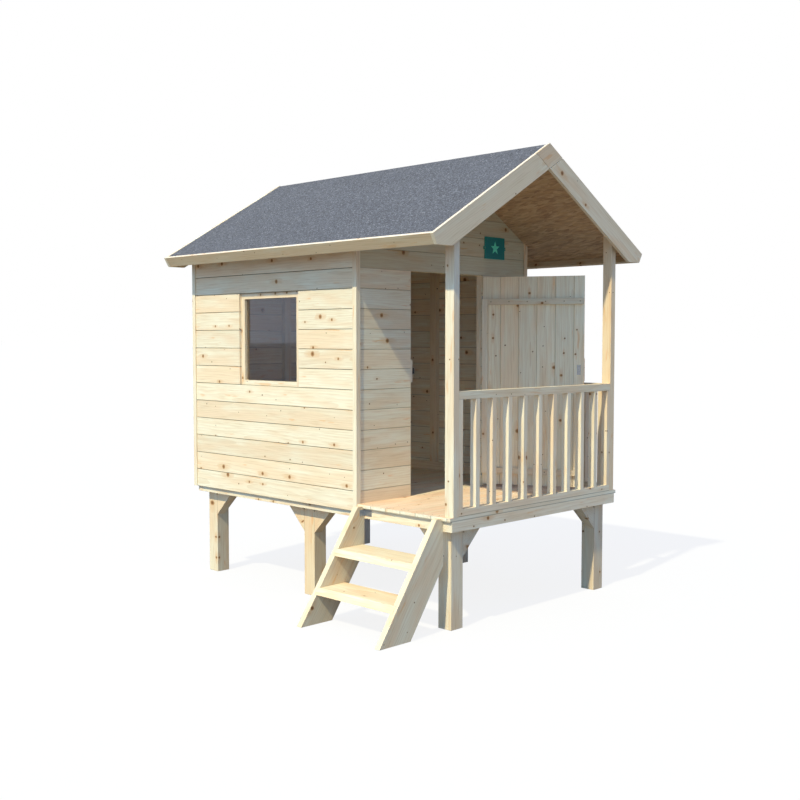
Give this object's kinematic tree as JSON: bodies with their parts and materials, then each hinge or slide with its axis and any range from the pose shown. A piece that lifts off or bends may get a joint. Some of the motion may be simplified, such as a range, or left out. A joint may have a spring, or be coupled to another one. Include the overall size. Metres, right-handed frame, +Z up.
{
  "type": "stilt playhouse",
  "caption": "Child's boarded wooden playhouse on braced legs, with a felted gable roof, window, hinged door, railed veranda and ladder.",
  "frame": {"origin": "on the ground, under the middle of the whole, roof overhangs and ladder included", "axes": "+Z up, -Y the way the veranda faces, the ladder on the -X side"},
  "size_m": [1.706, 1.88, 2.067],
  "materials": {
    "leg_pine": "planed squared softwood, end grain at the foot, small brown knots",
    "frame_pine": "planed softwood, grain along its length",
    "floor_pine": "planed tongued boards, untreated, small knots",
    "cladding_pine": "planed tongued boards, untreated, brown knots and fine grain",
    "trim_pine": "planed softwood strip with sharp edges",
    "door_pine": "planed upright tongued boards",
    "railing_pine": "planed softwood strip, end grain at the rails",
    "ladder_pine": "planed board with a worn top",
    "roof_board": "pressed flake board, matt",
    "roof_felt": "mineral-surfaced bitumen felt with fine pale grit",
    "window_pane": "clear sheet, smooth",
    "zinc": "zinc-plated sheet steel",
    "black_plastic": "moulded black plastic",
    "sign_enamel": "dark green painted plate, satin"
  },
  "bodies": {
    "house": {"leg_front_left": "leg_pine", "leg_front_right": "leg_pine", "leg_middle_left": "leg_pine", "leg_middle_right": "leg_pine", "leg_rear_left": "leg_pine", "leg_rear_right": "leg_pine", "floor_beam_front": "frame_pine", "floor_beam_rear": "frame_pine", "floor_beam_left": "frame_pine", "floor_beam_right": "frame_pine", "floor_joist_left": "frame_pine", "floor_joist_right": "frame_pine", "veranda_deck": "floor_pine", "house_floor": "floor_pine", "wall_left": "cladding_pine", "wall_right": "cladding_pine", "wall_rear": "cladding_pine", "wall_front_left": "cladding_pine", "wall_front_right": "cladding_pine", "wall_front_gable": "cladding_pine", "corner_trim_front_left": "trim_pine", "corner_trim_front_right": "trim_pine", "corner_trim_rear_left": "trim_pine", "corner_trim_rear_right": "trim_pine", "window_frame": "trim_pine", "window_pane": "window_pane", "hinge_upper_jamb_leaf": "zinc", "hinge_lower_jamb_leaf": "zinc", "catch_block": "trim_pine", "catch_magnet": "black_plastic", "veranda_post_left": "frame_pine", "veranda_post_right": "frame_pine", "front_top_rail": "railing_pine", "front_balusters": "railing_pine", "side_top_rail": "railing_pine", "side_balusters": "railing_pine", "step_stringer_front": "ladder_pine", "step_stringer_rear": "ladder_pine", "step_tread_lower": "ladder_pine", "step_tread_upper": "ladder_pine", "roof_panel_left": "roof_board", "roof_panel_right": "roof_board", "roof_felt": "roof_felt", "eave_fascia_left": "trim_pine", "eave_fascia_right": "trim_pine", "bargeboard_front_left": "trim_pine", "bargeboard_front_right": "trim_pine", "bargeboard_rear_left": "trim_pine", "bargeboard_rear_right": "trim_pine", "apex_block_front": "trim_pine", "apex_block_rear": "trim_pine", "sign_plate": "sign_enamel"},
    "door": {"door_leaf": "door_pine", "door_top_ledge": "door_pine", "door_bottom_ledge": "door_pine", "door_hinge_batten": "door_pine", "door_handle": "door_pine", "door_strike_plate": "zinc", "hinge_upper_door_leaf": "zinc", "hinge_lower_door_leaf": "zinc"}
  },
  "joints": [
    {"name": "door_hinge", "type": "hinge", "parent": "house", "child": "door", "pos_m": [0.357, -0.346, 0.9795], "axis": [0, 0, 1], "range_deg": [-117, 5]}
  ]
}
